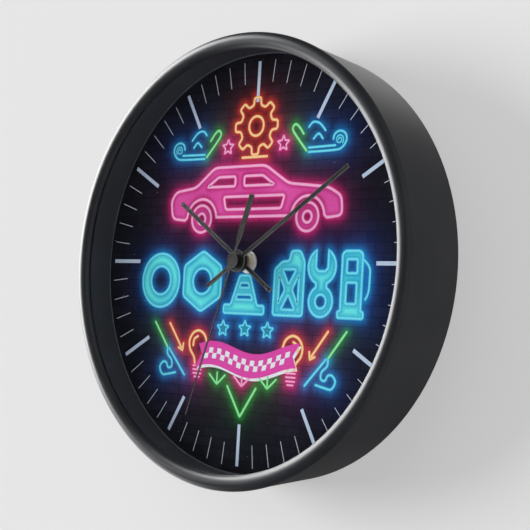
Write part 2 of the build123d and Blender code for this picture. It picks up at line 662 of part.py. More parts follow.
def battery_cap():
    """Positive end: flat disc with the raised terminal."""
    return lying(5.6, END_X - 1.3, END_X - 1.0) + lying(2.7, END_X - 1.0, END_X)


def battery_base():
    """Negative end disc."""
    return lying(5.6, -END_X, -END_X + 0.3)


LEAF_T = 0.3
LEAF_Z0, LEAF_Z1 = BATTERY_Z - 3.0, BATTERY_Z + 3.0


def battery_contact(side):
    """Spring leaf that bows from the bay's end wall to just touch the cell."""
    wall = INSIDE - 0.02
    crest = END_X + 0.05
    outline = [(wall, FLOOR_Y + 0.3), (wall - LEAF_T, FLOOR_Y + 0.3), (wall - LEAF_T, BATTERY_Y - 4.0),
               (crest, BATTERY_Y - 0.6), (crest, BATTERY_Y + 0.6), (wall - LEAF_T, BATTERY_Y + 4.0),
               (wall - LEAF_T, BASE_BACK_Y - 1.5), (wall, BASE_BACK_Y - 1.5), (wall, BATTERY_Y + 4.1),
               (crest + LEAF_T, BATTERY_Y + 0.6), (crest + LEAF_T, BATTERY_Y - 0.6),
               (wall, BATTERY_Y - 4.1)]
    face = make_face(Polyline(*[(side * x, y) for x, y in outline], close=True))
    return extrude(Plane.XY.offset(LEAF_Z0) * face, amount=LEAF_Z1 - LEAF_Z0)


# ---------------------------------------------------------------------- writing out
NODES = {
    "front_bezel": front_bezel,
    "clear_lens": clear_lens,
    "spacer_ring": spacer_ring,
    "dial_print": dial_print,
    "dial_board": dial_board,
    "case_shell": case_shell,
    "support_ring": support_ring,
    "board_screws": board_screws,
    "hanger_standoffs": hanger_standoffs,
    "hanger_plate": hanger_plate,
    "hanger_screws": hanger_screws,
    "movement_base": movement_base,
    "movement_cover": movement_cover,
    "cover_screws": cover_screws,
    "middle_plate": middle_plate,
    "threaded_bush": threaded_bush,
    "rubber_washer": rubber_washer,
    "dial_washer": dial_washer,
    "hex_nut": hex_nut,
    "hour_hand": hour_hand,
    "hour_collet": lambda: collet(3.4, HOUR_PIPE_R, HOUR_Y + HAND_T, 0.9),
    "hour_wheel": hour_wheel,
    "minute_hand": minute_hand,
    "minute_collet": lambda: collet(MINUTE_COLLET_R, CANNON_R, MINUTE_Y + HAND_T, 2.0),
    "cannon_pinion": cannon_pinion,
    "motion_wheel": motion_wheel,
    "setting_knob": setting_knob,
    "second_hand": second_hand,
    "second_collet": lambda: collet(SECOND_COLLET_R, ARBOR_R, SECOND_Y + HAND_T, 1.5),
    "second_wheel": second_wheel,
    "third_wheel": third_wheel,
    "centre_wheel": centre_wheel,
    "intermediate_wheel": intermediate_wheel,
    "rotor_pinion": rotor_pinion,
    "rotor_magnet": rotor_magnet,
    "stator": stator,
    "coil_core": coil_core,
    "coil_bobbin": coil_bobbin,
    "coil_winding": coil_winding,
    "circuit_board": circuit_board,
    "quartz_crystal": quartz_crystal,
    "circuit_chip": circuit_chip,
    "positive_contact": lambda: battery_contact(1),
    "negative_contact": lambda: battery_contact(-1),
    "battery_can": battery_can,
    "battery_cap": battery_cap,
    "battery_base": battery_base,
}

os.makedirs("parts", exist_ok=True)
for node, make in NODES.items():
    made = make()
    shape = Compound(children=made) if isinstance(made, list) else made
    export_step(shape, f"parts/{node}.step")
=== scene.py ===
"""The looks of a round wall clock with a neon-style printed dial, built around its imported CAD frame.

Everything is in the frame's axes: +Z is up, +X is right seen from the front, and the dial faces -Y.
The artwork of the dial is laid out in millimetres, as (x, z) seen from the front with the centre at 0.
"""
import json
import math

import bpy
import numpy as np
from mathutils import Matrix, Vector
from mathutils.geometry import tessellate_polygon


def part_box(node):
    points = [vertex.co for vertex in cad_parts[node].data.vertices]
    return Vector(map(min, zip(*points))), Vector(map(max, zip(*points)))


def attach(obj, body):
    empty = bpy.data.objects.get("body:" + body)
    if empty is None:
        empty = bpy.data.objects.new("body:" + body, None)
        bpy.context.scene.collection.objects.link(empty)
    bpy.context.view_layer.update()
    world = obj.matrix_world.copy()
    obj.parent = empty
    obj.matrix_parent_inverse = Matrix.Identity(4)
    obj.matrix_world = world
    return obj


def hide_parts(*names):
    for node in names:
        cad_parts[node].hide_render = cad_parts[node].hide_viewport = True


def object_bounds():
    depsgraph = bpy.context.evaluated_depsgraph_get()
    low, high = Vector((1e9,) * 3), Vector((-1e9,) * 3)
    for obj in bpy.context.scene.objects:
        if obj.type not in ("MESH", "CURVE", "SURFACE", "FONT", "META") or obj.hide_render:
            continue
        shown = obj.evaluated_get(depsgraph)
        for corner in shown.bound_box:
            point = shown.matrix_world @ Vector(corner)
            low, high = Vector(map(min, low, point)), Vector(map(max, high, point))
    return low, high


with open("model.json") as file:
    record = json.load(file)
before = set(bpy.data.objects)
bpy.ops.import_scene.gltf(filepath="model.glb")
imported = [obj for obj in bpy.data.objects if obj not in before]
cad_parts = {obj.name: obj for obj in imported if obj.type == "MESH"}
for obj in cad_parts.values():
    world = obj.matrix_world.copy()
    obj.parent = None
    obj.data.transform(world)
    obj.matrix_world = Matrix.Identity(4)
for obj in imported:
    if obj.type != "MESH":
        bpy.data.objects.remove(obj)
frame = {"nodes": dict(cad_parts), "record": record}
cad_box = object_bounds()
nodes = frame["nodes"]

MM = 0.001
TURN = 2 * math.pi

# ------------ the camera
CAMERA_AZIMUTH = 42.92      # degrees to the right of straight in front
CAMERA_ELEVATION = -2.89
CAMERA_ROLL = 3.29
CAMERA_DISTANCE = 0.7624
CAMERA_ASIDE = -0.0093      # how far the view's middle is from the clock's origin
CAMERA_ABOVE = 0.0005
LENS_MM = 89.38
SENSOR_MM = 36.0

# ------------ the stage
BACKDROP_GLOW = 0.452       # the part of the backdrop's brightness that no shadow touches
BACKDROP_GREY = 0.10
SKY_GREY = 0.80             # what the camera sees where there is no wall
FLOOR_BELOW = 0.45          # under the clock's lowest point
WALL_GAP = 0.3 * MM
STAGE_SIZE = 8.0
FILL_LIGHT = 0.74           # soft light from every side
KEY_DIRECTION, KEY_SPREAD = (-68.0, 5.0), 30.0     # azimuth and elevation, degrees across
KEY_ON_CLOCK, KEY_ON_WALL = 2.6, 14.9
SHADE_DIRECTION, SHADE_SPREAD = (-28.0, 52.0), 80.0
SHADE_ON_WALL = 3.5

# ------------ the dial
dial_low, dial_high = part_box("dial_print")
DIAL_Y = dial_low.y
DIAL_R = dial_high.x
DIAL_HOLE_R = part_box("threaded_bush")[1].x + 0.05 * MM
SEEN_R = 119.2              # mm, radius of the face inside the spacer ring

# ------------ the bezel, in mm
BEZEL_WIDTH = 9.0
TONGUE_INSET, TONGUE_WIDTH = 1.85, 0.9      # of the locating tongue behind it
BEZEL_TURNS, CROWN_POINTS = 288, 49


# ============ materials
def srgb(red, green, blue):
    """A linear colour from one given in 0-255 display values."""
    return tuple(((v / 255 + 0.055) / 1.055) ** 2.4 if v > 10.3 else v / 255 / 12.92
                 for v in (red, green, blue))


class Nodes:
    """Shader nodes in one tree, wired up as they are added."""

    def __init__(self, tree):
        self.tree = tree

    def link(self, source, target):
        self.tree.links.new(source, target)

    def give(self, socket, value):
        """An input takes another node's output, a colour, a vector or a number."""
        if isinstance(value, bpy.types.NodeSocket):
            self.link(value, socket)
        else:
            socket.default_value = (*value, 1) if socket.type == "RGBA" else value

    def add(self, kind, inputs=(), **settings):
        """A node with its settings; its inputs are given by name or number."""
        node = self.tree.nodes.new(kind)
        for key, value in settings.items():
            setattr(node, key, value)
        for key, value in dict(inputs).items():
            self.give(node.inputs[key], value)
        return node

    def math(self, operation, *values):
        return self.add("ShaderNodeMath", enumerate(values), operation=operation).outputs[0]

    def mapped(self, value, low, high, from_low=0.3, from_high=0.7, **settings):
        """The value, with its range from_low to from_high brought to low to high."""
        values = (value, from_low, from_high, low, high)
        return self.add("ShaderNodeMapRange", enumerate(values), **settings).outputs[0]

    def axes(self, vector):
        return self.add("ShaderNodeSeparateXYZ", {0: vector}).outputs

    def either(self, factor, first, second):
        """A mix of two shaders."""
        return self.add("ShaderNodeMixShader", enumerate((factor, first, second))).outputs[0]


class Surface(Nodes):
    """One procedural material on a Principled shader, in the frame's metres."""

    def __init__(self, name, colour, roughness, **sockets):
        self.material = bpy.data.materials.new(name)
        self.material.use_nodes = True
        super().__init__(self.material.node_tree)
        self.shader = self.tree.nodes["Principled BSDF"]
        self.place = self.add("ShaderNodeTexCoord").outputs["Object"]
        for socket, value in {"Base Color": colour, "Roughness": roughness, **sockets}.items():
            self.give(self.shader.inputs[socket.replace("_", " ")], value)

    def stretched(self, x, y, z):
        """Object coordinates scaled along each axis, for grain and brushing."""
        return self.add("ShaderNodeMapping", {"Vector": self.place, "Scale": (x, y, z)}).outputs[0]

    def noise(self, scale, detail=3.0, rough=0.5, place=None):
        inputs = {"Vector": place or self.place, "Scale": scale, "Detail": detail, "Roughness": rough}
        return self.add("ShaderNodeTexNoise", inputs).outputs["Fac"]

    def mix(self, factor, first, second, blend="MIX"):
        """A colour mix; first and second are colours or sockets."""
        inputs = {0: factor, 6: first, 7: second}
        return self.add("ShaderNodeMix", inputs, data_type="RGBA", blend_type=blend).outputs[2]

    def between(self, value, first, second):
        """The base colour runs from first to second over the middle of a noise."""
        self.colour(self.mix(self.mapped(value, 0, 1), first, second))

    def shades(self, value, colour, low, high):
        """The base colour is one colour, made darker and paler over a noise."""
        self.between(value, tuple(c * low for c in colour), tuple(min(1.0, c * high) for c in colour))

    def colour(self, socket):
        self.link(socket, self.shader.inputs["Base Color"])

    def roughness(self, socket):
        self.link(socket, self.shader.inputs["Roughness"])

    def bump(self, height, distance, strength):
        node = self.add("ShaderNodeBump", {"Height": height, "Distance": distance, "Strength": strength})
        self.link(node.outputs["Normal"], self.shader.inputs["Normal"])
        return self

    def show(self, shader):
        """The material shows this shader instead."""
        self.link(shader, self.tree.nodes["Material Output"].inputs["Surface"])


def case_black():
    """Moulded black plastic: satin sides, a smoother front bead, faint orange peel and uneven gloss."""
    s = Surface("case_black", (0.020, 0.021, 0.024), 0.34, IOR=1.5)
    cloud = s.noise(28, 4)
    fine = s.noise(260, 3)
    body = s.mix(s.mapped(cloud, 0, 1), (0.0165, 0.0175, 0.021), (0.023, 0.0245, 0.029))
    x, y, z = s.axes(s.place)
    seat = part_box("clear_lens")[0].y
    # The ring's inner wall round the dial is painted paler than the case: painted light standing in for
    # the light that reaches it.
    across = s.math("SQRT", s.math("ADD", s.math("MULTIPLY", x, x), s.math("MULTIPLY", z, z)), 0.0)
    inner_wall_painted_light = s.math("MULTIPLY", s.mapped(across, 1, 0, (SEEN_R + 0.6) * MM, (SEEN_R + 0.8) * MM),
                    s.mapped(y, 0, 1, seat, seat + 0.2 * MM))
    s.colour(s.mix(inner_wall_painted_light, body, (0.056, 0.061, 0.070)))
    polished = s.mapped(y, 0.30, 0.40, seat - 0.2 * MM, seat + 0.6 * MM)
    uneven = s.mapped(s.math("ADD", s.math("MULTIPLY", cloud, 0.6), s.math("MULTIPLY", fine, 0.4)),
                      -0.04, 0.04, 0.0, 1.0)
    s.roughness(s.math("ADD", polished, uneven))
    return s.bump(s.noise(420, 2), 0.00004, 0.25).material


def satin_black(name, colour, low, high, grain, depth):
    """Moulded or painted black with a fine matt grain."""
    s = Surface(name, colour, (low + high) / 2, IOR=1.48)
    cloud = s.noise(90, 3)
    s.shades(cloud, colour, 0.8, 1.25)
    s.roughness(s.mapped(cloud, low, high))
    return s.bump(s.noise(grain, 2), depth, 0.5).material


def bevelled_black():
    """Black enamel on a stamped hand, with a painted highlight along its bevelled edges."""
    s = Surface("hand_black", (0.020, 0.020, 0.019), 0.4, IOR=1.48, Specular_IOR_Level=0.2)
    normal = s.axes(s.add("ShaderNodeNewGeometry").outputs["Normal"])
    tilt = s.math("ABSOLUTE", normal["Y"], 0.0)
    # The faces that tilt away from the dial's plane are painted pale, as a painted highlight on the
    # bevelled edges.
    bevel_highlight = s.math("MULTIPLY", s.mapped(tilt, 0, 1, 0.4, 0.6), s.mapped(tilt, 1, 0, 0.8, 0.95))
    cloud = s.noise(120, 3)
    enamel = s.mix(s.mapped(cloud, 0, 1), (0.014, 0.014, 0.0135), (0.021, 0.020, 0.0185))
    s.colour(s.mix(bevel_highlight, enamel, (0.26, 0.25, 0.24)))
    s.roughness(s.mapped(cloud, 0.36, 0.5))
    return s.bump(s.noise(900, 2), 0.000012, 0.5).material


def clear_acrylic():
    """A clear sheet: see-through, with the mirror of its faces growing at a slant."""
    s = Surface("clear_acrylic", (0.9, 0.92, 0.93), 0.03, IOR=1.49)
    clear = s.add("ShaderNodeBsdfTransparent", {"Color": (0.985, 0.99, 0.99)})
    rough = s.mapped(s.noise(40, 4), 0.02, 0.05, 0.0, 1.0)
    gloss = s.add("ShaderNodeBsdfAnisotropic", {"Color": (1, 1, 1), "Roughness": rough})
    fresnel = s.add("ShaderNodeFresnel", {"IOR": 1.49})
    # Only the near side mirrors, since a ray going out is never bent here.
    leaving = s.add("ShaderNodeNewGeometry").outputs["Backfacing"]
    mirror = s.math("MULTIPLY", fresnel.outputs[0], s.math("SUBTRACT", 1.0, leaving))
    s.show(s.either(mirror, clear.outputs[0], gloss.outputs[0]))
    s.tree.nodes.remove(s.shader)
    return s.material


def printed_face():
    """Printed card: the ink of each point over faint dark brickwork, with a little paper grain."""
    s = Surface("printed_face", (0.01, 0.01, 0.015), 0.8, IOR=1.45, Specular_IOR_Level=0.04)
    ink = s.add("ShaderNodeAttribute", attribute_name="ink").outputs["Color"]
    turned = s.add("ShaderNodeMapping", {"Vector": s.place, "Rotation": (-math.pi / 2, 0, 0)})
    wall = {"Vector": turned.outputs[0], "Scale": 1 / (9.0 * MM), "Brick Width": 1.25,
            "Row Height": 0.62, "Mortar Size": 0.035, "Mortar Smooth": 0.6, "Mortar": srgb(13, 13, 19),
            "Color1": srgb(22, 23, 31), "Color2": srgb(30, 32, 42)}
    brick = s.add("ShaderNodeTexBrick", wall)
    shade = s.mapped(brick.outputs["Fac"], 1.0, 0.72, 0.0, 1.0)
    ground = s.mix(s.mapped(s.noise(22, 4), 0.0, 0.55), brick.outputs["Color"], srgb(14, 14, 21))
    halftone = s.mapped(s.noise(900, 2), 0.93, 1.05)
    # Bright ink is opaque; only its dim glow lets the brickwork show.
    bright = s.add("ShaderNodeRGBToBW", {0: ink})
    opaque = s.mapped(bright.outputs[0], 0.0, 1.0, 0.02, 0.16)
    strength = s.math("MULTIPLY", s.math("MAXIMUM", shade, opaque), halftone)
    lit = s.add("ShaderNodeVectorMath", {0: ink, "Scale": strength}, operation="SCALE")
    s.colour(s.mix(1.0, ground, lit.outputs[0], "ADD"))
    s.roughness(s.mapped(s.noise(150, 3), 0.72, 0.88))
    return s.bump(s.noise(1500, 2), 0.00001, 0.2).material


def hardboard():
    """Pressed brown fibreboard: short fibres and darker flecks."""
    s = Surface("hardboard", (0.30, 0.19, 0.10), 0.72, IOR=1.45)
    fibres = s.noise(1.0, 5, 0.6, s.stretched(900, 900, 260))
    flecks = s.noise(420, 2, 0.5)
    body = s.mix(s.mapped(fibres, 0, 1), (0.235, 0.142, 0.072), (0.37, 0.245, 0.135))
    s.colour(s.mix(s.mapped(flecks, 0, 0.75, 0.56, 0.68), body, (0.12, 0.068, 0.034)))
    s.roughness(s.mapped(fibres, 0.62, 0.85))
    return s.bump(fibres, 0.00012, 0.5).material


def metal(name, colour, low, high, brushed, scale, metallic=1.0):
    """Bare or plated metal with fine brushing or drawing lines and uneven brightness."""
    s = Surface(name, colour, (low + high) / 2, Metallic=metallic)
    lines = s.noise(scale, 4, 0.55, s.stretched(*brushed))
    cloud = s.noise(70, 3)
    s.shades(cloud, colour, 0.86, 1.08)
    s.roughness(s.mapped(lines, low, high))
    return s.bump(lines, 0.00002, 0.35).material


def acetal():
    """Off-white gear plastic, a little translucent, with fine mould texture."""
    s = Surface("train_plastic", (0.80, 0.79, 0.74), 0.42, IOR=1.48, Subsurface_Weight=0.12,
                Subsurface_Scale=0.0008)
    cloud = s.noise(240, 3)
    s.between(cloud, (0.74, 0.73, 0.67), (0.84, 0.83, 0.79))
    s.roughness(s.mapped(cloud, 0.36, 0.5))
    return s.bump(s.noise(2500, 2), 0.000006, 0.4).material


def copper_winding():
    """Layers of enamelled copper wire, laid side by side across the bobbin."""
    s = Surface("copper_wire", (0.62, 0.27, 0.12), 0.34, Metallic=0.85, Coat_Weight=0.4)
    turns = s.add("ShaderNodeTexWave", {"Vector": s.place, "Scale": 1400, "Distortion": 0.6},
                  wave_type="BANDS", bands_direction="X").outputs["Fac"]
    s.colour(s.mix(turns, (0.36, 0.13, 0.05), (0.75, 0.36, 0.17)))
    s.roughness(s.mapped(turns, 0.45, 0.26, 0.0, 1.0))
    return s.bump(turns, 0.00004, 0.7).material


def circuit_green():
    """Solder mask over faint copper tracks."""
    s = Surface("circuit_green", (0.03, 0.18, 0.09), 0.34, IOR=1.5)
    cells = s.add("ShaderNodeTexVoronoi", {"Vector": s.place, "Scale": 380}, distance="CHEBYCHEV",
                  feature="DISTANCE_TO_EDGE")
    tracks = s.mapped(cells.outputs["Distance"], 0, 1, 0.05, 0.09)
    s.colour(s.mix(tracks, (0.02, 0.12, 0.06), (0.045, 0.25, 0.12)))
    s.roughness(s.mapped(s.noise(300, 3), 0.28, 0.42))
    return s.bump(tracks, 0.00002, 0.5).material


def battery_sleeve():
    """Printed shrink sleeve: deep blue with a plain silver band at one end."""
    s = Surface("battery_sleeve", (0.06, 0.16, 0.38), 0.3, Metallic=0.35, Coat_Weight=0.3)
    low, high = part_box("battery_can")
    length = high.x - low.x
    band = s.mapped(s.axes(s.place)["X"], 0, 1, high.x - 0.27 * length, high.x - 0.255 * length)
    foil = s.noise(600, 3)
    blue = s.mix(s.mapped(foil, 0, 1), (0.035, 0.10, 0.28), (0.055, 0.15, 0.38))
    silver = s.mix(s.mapped(foil, 0, 1), (0.42, 0.43, 0.45), (0.60, 0.61, 0.63))
    s.colour(s.mix(band, blue, silver))
    s.roughness(s.mapped(foil, 0.24, 0.36))
    return s.bump(s.noise(180, 2), 0.00002, 0.3).material


def cast_black(name, colour, roughness, scale):
    """A small black part whose surface is grainy, such as rubber, resin or a sintered magnet."""
    s = Surface(name, colour, roughness)
    grain = s.noise(scale, 4)
    s.shades(grain, colour, 0.7, 1.35)
    s.roughness(s.mapped(grain, roughness - 0.07, roughness + 0.07))
    return s.bump(grain, 0.00003, 0.5).material


materials = {
    "case_black": case_black(),
    "clear_acrylic": clear_acrylic(),
    "printed_face": printed_face(),
    "hardboard": hardboard(),
    "zinc_steel": metal("zinc_steel", (0.60, 0.60, 0.58), 0.26, 0.46, (1, 1, 0.08), 900),
    "movement_black": satin_black("movement_black", (0.022, 0.022, 0.024), 0.42, 0.6, 1800, 0.00003),
    "train_plastic": acetal(),
    "brass": metal("brass", (0.78, 0.58, 0.27), 0.2, 0.36, (1, 12, 1), 500),
    "soft_rubber": cast_black("soft_rubber", (0.03, 0.03, 0.03), 0.75, 900),
    "nickel": metal("nickel", (0.92, 0.88, 0.82), 0.42, 0.56, (1, 6, 1), 420, metallic=0.3),
    "hand_black": bevelled_black(),
    "magnet": cast_black("magnet", (0.10, 0.10, 0.11), 0.45, 1200),
    "soft_iron": metal("soft_iron", (0.48, 0.48, 0.50), 0.3, 0.5, (0.1, 1, 1), 800),
    "copper_wire": copper_winding(),
    "circuit_green": circuit_green(),
    "resin_black": cast_black("resin_black", (0.012, 0.012, 0.013), 0.2, 400),
    "battery_sleeve": battery_sleeve(),
}
slot_of = {part["node"]: part["material_slot"] for part in frame["record"]["subparts"]}
for name, node in nodes.items():
    node.data.materials.clear()
    node.data.materials.append(materials[slot_of[name]])


# ============ mesh tools
def mesh_piece(name, points, faces, body, slot, smooth=False):
    """A mesh in the frame's metres that rides on a body, with its slot's material."""
    mesh = bpy.data.meshes.new(name)
    mesh.from_pydata([tuple(p) for p in points], [], [tuple(int(i) for i in f) for f in faces])
    mesh.validate()
    if smooth:
        mesh.shade_smooth()
    mesh.materials.append(materials[slot])
    piece = bpy.data.objects.new(name, mesh)
    bpy.context.scene.collection.objects.link(piece)
    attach(piece, body)
    return piece


def set_ink(piece, colours):
    """Stores a linear colour at each point of a printed piece."""
    ink = piece.data.color_attributes.new("ink", "FLOAT_COLOR", "POINT")
    rgba = np.ones((len(colours), 4), np.float32)
    rgba[:, :3] = colours
    ink.data.foreach_set("color", rgba.ravel())


def polar(cx, cz, radius, degrees):
    """The point at a radius and an angle, anticlockwise from the right."""
    a = math.radians(degrees)
    return cx + radius * math.cos(a), cz + radius * math.sin(a)


def arc(cx, cz, radius, start, end, count):
    return [polar(cx, cz, radius, a) for a in np.linspace(start, end, count)]


def ring(cx, cz, radius, count):
    return arc(cx, cz, radius, 0, 360 - 360 / count, count)


def mirrored(path):
    return [(-x, z) for x, z in path]


def spline(points, per_span=8):
    """A smooth line through the points."""
    p = np.array([points[0], *points, points[-1]], float)
    t = np.linspace(0, 1, per_span, endpoint=False)[:, None]
    spans = []
    for a, b, c, d in zip(p, p[1:], p[2:], p[3:]):
        spans.append(0.5 * (2 * b + (c - a) * t + (2 * a - 5 * b + 4 * c - d) * t**2
                            + (3 * b - a - 3 * c + d) * t**3))
    return [tuple(q) for q in np.vstack([*spans, p[-1:]])]


def rounded(corners, radius, closed=True, count=5):
    """The outline with each corner rounded, by a curve that starts about a radius before it."""
    c = [np.array(p, float) for p in corners]
    n = len(c)
    made = []
    for i in range(n):
        if not closed and i in (0, n - 1):
            made.append(tuple(c[i]))
            continue
        before, here, after = c[i - 1], c[i], c[(i + 1) % n]
        to_before, to_after = before - here, after - here
        reach = min(radius, 0.45 * np.linalg.norm(to_before), 0.45 * np.linalg.norm(to_after))
        a = here + to_before / np.linalg.norm(to_before) * reach
        b = here + to_after / np.linalg.norm(to_after) * reach
        for t in np.linspace(0, 1, count):
            made.append(tuple((1 - t) ** 2 * a + 2 * t * (1 - t) * here + t**2 * b))
    return made


def evenly(path, step, closed):
    """The path with points about one step apart."""
    p = np.array(path, float)
    if closed:
        p = np.vstack([p, p[:1]])
    lengths = np.r_[0, np.cumsum(np.linalg.norm(np.diff(p, axis=0), axis=1))]
    count = max(3, int(round(lengths[-1] / step)))
    s = np.linspace(0, lengths[-1], count + 1)
    made = np.column_stack([np.interp(s, lengths, p[:, 0]), np.interp(s, lengths, p[:, 1])])
    return made[:-1] if closed else made


# ============ dial artwork
NEON = {  # core, rim of the core, near halo, far halo
    "orange": (srgb(255, 228, 172), srgb(250, 150, 70), srgb(170, 42, 8), srgb(96, 18, 26)),
    "green": (srgb(172, 246, 180), srgb(60, 200, 95), srgb(4, 112, 26), srgb(10, 62, 30)),
    "cyan": (srgb(128, 235, 248), srgb(30, 180, 225), srgb(0, 104, 158), srgb(18, 46, 118)),
    "pink": (srgb(255, 196, 232), srgb(240, 90, 165), srgb(176, 22, 92), srgb(96, 18, 66)),
}
LINE_W, STEP = 1.65, 0.7            # mm, width of a neon line and space between its points
COLUMNS = (1.0, 0.55, 0.0, -0.55, -1.0)     # points across a line, of its half width
CORE_FALL = 0.7             # how the ink fades from the core to the rim of a line
NEAR_REACH, FAR_REACH = 2.3, 7.2    # mm, of the two halos round a line
FAR_STRENGTH = 0.62
FILL_EDGE, FILL_DRIFT = 2.6, 0.38   # mm that a fill takes to brighten, and the share that drifts
CORNER_LIMIT, TIP_WIDTH = 0.62, 0.08    # least cosine at a corner, least width of a round tip
INK_HEIGHT = 0.03 * MM      # of a printed line above the face
INK_FOOT = 0.02 * MM        # how far it reaches into the face
LAYER_STEP = 0.0003 * MM    # between lines that cross, so that neither flickers


class Motif:
    """One drawing on the dial: neon lines, and the areas they fill."""

    def __init__(self, name, colour, width=LINE_W, glow=1.0, fill=None):
        self.name, self.colour, self.width, self.glow, self.fill = name, colour, width, glow, fill
        self.lines = []

    def line(self, path, closed=False):
        self.lines.append((evenly(path, STEP, closed), closed))
        return self

    def both(self, path, closed=False):
        return self.line(path, closed).line(mirrored(path), closed)

    def shape(self, corners, radius):
        """A closed outline with rounded corners."""
        return self.line(rounded(corners, radius), True)

    def hoop(self, cx, cz, radius, count):
        return self.line(ring(cx, cz, radius, count), True)


def star(cx, cz, radius):
    return rounded([polar(cx, cz, radius * (0.46 if i % 2 else 1), 90 + 36 * i) for i in range(10)], 0.5)


def cog(cx, cz, outer, root, teeth):
    """A toothed wheel; each tooth has its flanks at those angles from its middle."""
    points = []
    for i in range(teeth):
        for turn, r in ((-13.5, root), (-8.5, outer), (8.5, outer), (13.5, root)):
            points.append(polar(cx, cz, r, 90 + 360 / teeth * i + turn))
    return rounded(points, 1.3)


def cog_motif():
    m = Motif("print_cog", "orange", 1.7)
    m.line(cog(0, 77.5, 16.5, 12.2, 8), True)
    m.hoop(0, 77.5, 5.6, 36)
    return m.line([(-9.5, 59.8), (9.5, 59.8)])


def swirl_motif():
    m = Motif("print_swirls", "cyan", 1.5, 0.75)
    m.both(spline([(-40.5, 60.6), (-58.0, 60.8), (-63.6, 61.8), (-66.8, 65.8), (-65.6, 69.6),
                   (-61.8, 71.0), (-58.6, 69.6), (-57.6, 67.0)]))
    m.both([(-40.5, 63.0), (-59.0, 63.3)])
    m.both(spline([(-51.6, 72.0), (-47.4, 76.0), (-42.8, 77.0), (-39.8, 74.6)]))
    return m.both(spline([(-50.0, 67.6), (-47.0, 70.4), (-43.6, 67.8)]))


def spiral_motif():
    m = Motif("print_spirals", "cyan", 0.95, 0.5)
    curl = [polar(-61.9, 66.3, 0.7 + 0.48 * t, math.degrees(2.2 * t)) for t in np.linspace(0, 4.6, 30)]
    return m.both(curl)


def hook_motif():
    m = Motif("print_hooks", "green", 1.6)
    return m.both(spline([(-38.6, 61.6), (-31.0, 69.8), (-27.9, 74.0), (-29.6, 76.6), (-32.6, 75.0),
                          (-36.0, 71.0)]))


def pink_stars():
    return Motif("print_pink_stars", "pink", 1.3).both(star(-21.5, 66.4, 4.6), True)


def car_motif():
    """A saloon car seen from the side, in broad outlined strokes."""
    m = Motif("print_car", "pink", 1.9, fill=(srgb(186, 22, 108), srgb(236, 88, 176)))
    arch_l, arch_r, sill, arch_radius = -40.0, 42.0, 24.5, 12.2
    reach = math.degrees(math.asin(0.12))
    body = [(-54.0, 24.5), (-64.5, 25.5), (-66.5, 36.0), (-62.5, 41.5), (-46.0, 43.5), (-31.0, 54.8),
            (9.0, 54.8), (27.0, 44.0), (56.0, 41.0), (65.5, 36.0), (66.5, 25.5), (56.0, 24.5)]
    outline = rounded(body, 3.4, closed=False)
    outline += arc(arch_r, sill, arch_radius, reach, 180 - reach, 24)
    outline += arc(arch_l, sill, arch_radius, reach, 180 - reach, 24)
    m.line(outline, True)
    m.shape([(-36.5, 43.6), (-27.6, 49.2), (-14.0, 49.2), (-14.0, 43.6)], 1.4)
    m.shape([(-7.0, 43.6), (-7.0, 49.2), (7.4, 49.2), (16.4, 43.6)], 1.4)
    m.shape([(-22.6, 37.6), (-20.6, 30.2), (22.4, 30.2), (24.6, 37.6)], 1.6)
    for x in (arch_l, arch_r):
        m.hoop(x, sill + 0.6, 7.9, 40)
        m.hoop(x, sill + 0.6, 3.2, 24)
    return m


def spanner_outline(cx, low, high):
    """A spanner standing on end: an open jaw above, and a ring below."""
    handle, jaw, jaw_r, ring_r = 3.6, 4.4, 9.6, 8.2
    top, bottom = high - jaw_r + 1.2, low + ring_r
    a, b = math.degrees(math.asin(handle / jaw_r)), math.degrees(math.asin(jaw / jaw_r))
    c = math.degrees(math.asin(handle / ring_r))
    outline = arc(cx, bottom, ring_r, 90 + c, 450 - c, 36)
    outline += arc(cx, top, jaw_r, -90 + a, 90 - b, 14)
    outline += [(cx + jaw, top - 0.6), (cx + jaw - 2.0, top - 2.6), (cx - jaw + 2.0, top - 2.6),
                (cx - jaw, top - 0.6)]
    outline += arc(cx, top, jaw_r, 90 + b, 270 - a, 14)
    return outline, ring(cx, bottom, 3.9, 24)


